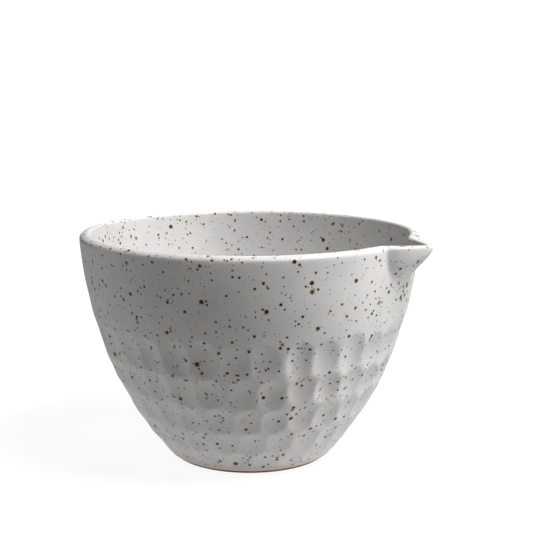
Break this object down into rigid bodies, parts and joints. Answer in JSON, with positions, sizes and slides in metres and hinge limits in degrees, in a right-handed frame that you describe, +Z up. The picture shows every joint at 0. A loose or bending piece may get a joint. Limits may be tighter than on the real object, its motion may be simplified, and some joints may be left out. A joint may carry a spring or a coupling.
{
  "type": "mixing bowl",
  "caption": "Deep stoneware batter bowl with a pinched V pouring spout, speckled satin glaze and rows of thumb dimples.",
  "frame": {"origin": "centre of the foot ring on the plane the bowl rests on", "axes": "+Z up out of the bowl's mouth, +X towards the tip of the pouring spout"},
  "size_m": [0.2571, 0.2398, 0.1612],
  "materials": {
    "clay": "bare fired stoneware, toasted brown, matte",
    "glaze": "satin-matte off-white glaze with dark brown iron speckle"
  },
  "bodies": {
    "root": {"clay_body": "clay", "spout": "clay", "glaze_coat": "glaze"}
  },
  "joints": []
}
